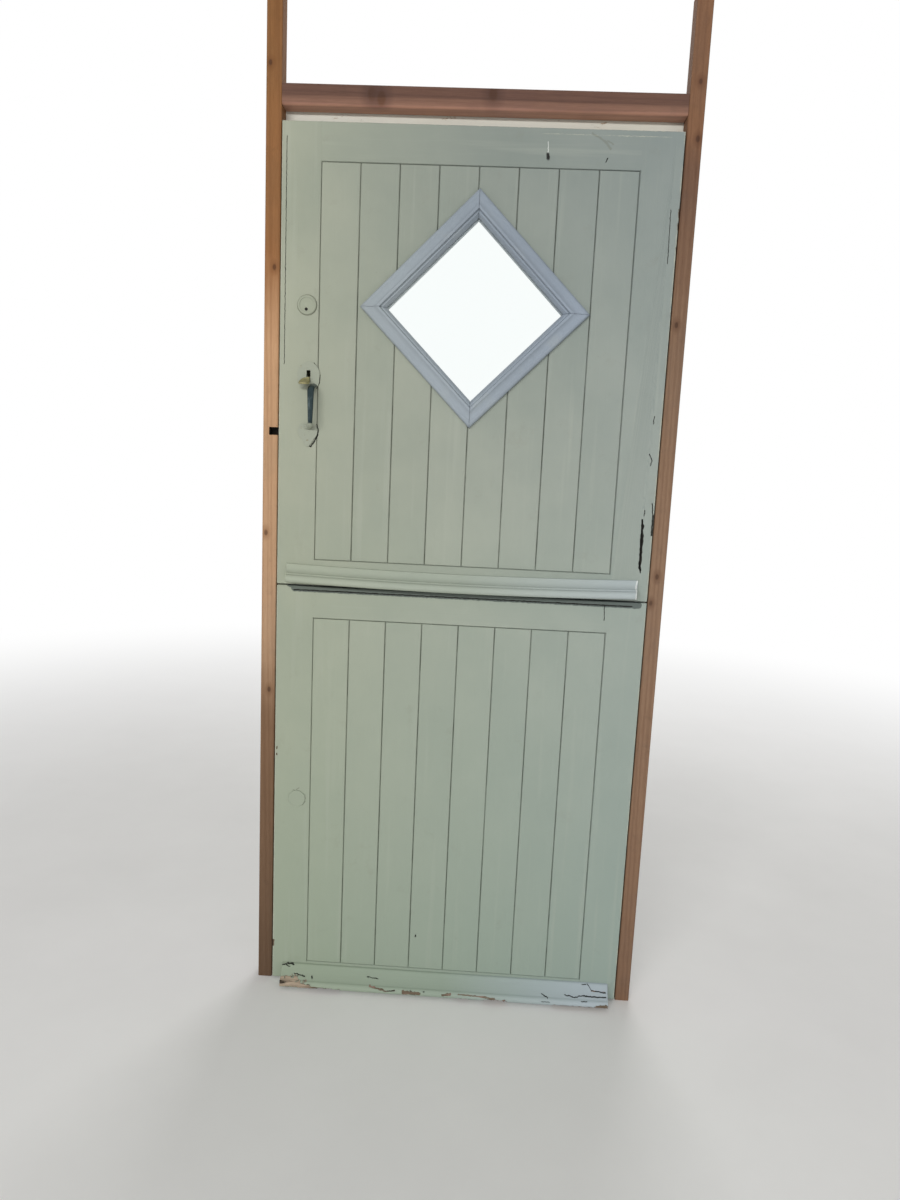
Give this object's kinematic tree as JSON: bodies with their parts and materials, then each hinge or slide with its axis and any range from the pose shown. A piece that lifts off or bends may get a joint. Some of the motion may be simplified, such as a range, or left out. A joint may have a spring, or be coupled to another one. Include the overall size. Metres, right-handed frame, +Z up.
{
  "type": "dutch stable door",
  "caption": "Framed stable door in two inward-opening leaves with matchboards, a diamond window, weatherboards and a thumb latch, hung between two posts and a head rail.",
  "frame": {"origin": "bottom centre of the whole door set's box, on the floor plane under the posts", "axes": "+Z up the posts, +X across the opening from the latch post to the hinge post, +Y from the weather side to the inside"},
  "size_m": [0.922, 0.136, 2.255],
  "materials": {
    "sage_paint": "old brushed sage green eggshell paint on softwood",
    "moulding_paint": "sage green gloss paint on a moulded softwood bead",
    "bare_pine": "bare sawn pine, orange with age",
    "stained_softwood": "red-brown stained softwood",
    "white_paint": "scuffed white paint on a planed lath",
    "window_glass": "clear float glass",
    "hinge_steel": "dulled plated steel",
    "black_iron": "black japanned iron, rubbed at the edges",
    "grip_steel": "iron casting, overpainted lobes and a bare dark grip",
    "worn_brass": "worn dull brass",
    "case_enamel": "brown enamel on a cast case",
    "bolt_steel": "zinc plated steel gone dull"
  },
  "bodies": {
    "frame": {"left_post": "bare_pine", "right_post": "bare_pine", "head_rail": "stained_softwood", "head_lath": "white_paint", "post_hinge_plates": "hinge_steel", "hinge_pins": "hinge_steel", "latch_keeper": "black_iron", "nightlatch_keep": "case_enamel", "lower_bolt_keep": "bolt_steel"},
    "upper_leaf": {"upper_left_stile": "sage_paint", "upper_right_stile": "sage_paint", "upper_top_rail": "sage_paint", "upper_foot_rail": "sage_paint", "upper_board_1": "sage_paint", "upper_board_2": "sage_paint", "upper_board_3": "sage_paint", "upper_board_4": "sage_paint", "upper_board_5": "sage_paint", "upper_board_6": "sage_paint", "upper_board_7": "sage_paint", "upper_board_8": "sage_paint", "upper_lipping": "sage_paint", "upper_weatherboard": "sage_paint", "latch_block": "sage_paint", "window_lining": "sage_paint", "window_moulding": "moulding_paint", "window_back_moulding": "sage_paint", "window_glass": "window_glass", "rim_cylinder": "sage_paint", "nightlatch_case": "case_enamel", "pull_handle": "grip_steel", "latch_pivot_plate": "black_iron", "latch_staple": "black_iron", "upper_hinge_plates": "hinge_steel", "link_bolt_case": "bolt_steel"},
    "lower_leaf": {"lower_left_stile": "sage_paint", "lower_right_stile": "sage_paint", "lower_head_rail": "sage_paint", "lower_foot_rail": "sage_paint", "lower_board_1": "sage_paint", "lower_board_2": "sage_paint", "lower_board_3": "sage_paint", "lower_board_4": "sage_paint", "lower_board_5": "sage_paint", "lower_board_6": "sage_paint", "lower_board_7": "sage_paint", "lower_board_8": "sage_paint", "lower_brace": "sage_paint", "lower_lipping": "sage_paint", "lower_weatherboard": "sage_paint", "blanking_disc": "sage_paint", "lower_hinge_plates": "hinge_steel", "lower_bolt_case": "bolt_steel", "link_keep": "bolt_steel"},
    "thumb_lever": {"thumb_lever": "worn_brass"},
    "latch_bar": {"latch_bar": "black_iron"},
    "nightlatch_bolt": {"nightlatch_bolt": "worn_brass"},
    "nightlatch_knob": {"nightlatch_knob": "worn_brass"},
    "link_bolt": {"link_bolt_rod": "bolt_steel"},
    "lower_bolt": {"lower_bolt_rod": "bolt_steel"}
  },
  "joints": [
    {"name": "upper_leaf_hinge", "type": "hinge", "parent": "frame", "child": "upper_leaf", "pos_m": [0.4255, 0.0268, 1.49], "axis": [0, 0, -1], "range_deg": [0, 110]},
    {"name": "lower_leaf_hinge", "type": "hinge", "parent": "frame", "child": "lower_leaf", "pos_m": [0.4255, 0.0268, 0.5], "axis": [0, 0, -1], "range_deg": [0, 110]},
    {"name": "thumb_lever_press", "type": "hinge", "parent": "upper_leaf", "child": "thumb_lever", "pos_m": [-0.358, -0.019, 1.457], "axis": [1, 0, 0], "range_deg": [-16, 0]},
    {"name": "latch_bar_drop", "type": "hinge", "parent": "upper_leaf", "child": "latch_bar", "pos_m": [-0.224, 0.027, 1.46198], "axis": [0, 1, 0], "range_deg": [-5.86, 0]},
    {"name": "nightlatch_knob_turn", "type": "hinge", "parent": "upper_leaf", "child": "nightlatch_knob", "pos_m": [-0.364, 0.048, 1.612], "axis": [0, 1, 0], "range_deg": [0, 60]},
    {"name": "nightlatch_bolt_throw", "type": "slide", "parent": "upper_leaf", "child": "nightlatch_bolt", "axis": [-1, 0, 0], "range_m": [0, 0.013]},
    {"name": "link_bolt_slide", "type": "slide", "parent": "upper_leaf", "child": "link_bolt", "axis": [0, 0, -1], "range_m": [0, 0.022]},
    {"name": "lower_bolt_slide", "type": "slide", "parent": "lower_leaf", "child": "lower_bolt", "axis": [-1, 0, 0], "range_m": [0, 0.022]}
  ],
  "couplings": [
    {"joint": "latch_bar_drop", "follows": "thumb_lever_press", "ratio": 0.36512},
    {"joint": "nightlatch_knob_turn", "follows": "nightlatch_bolt_throw", "rad_per_m": 80.5}
  ]
}
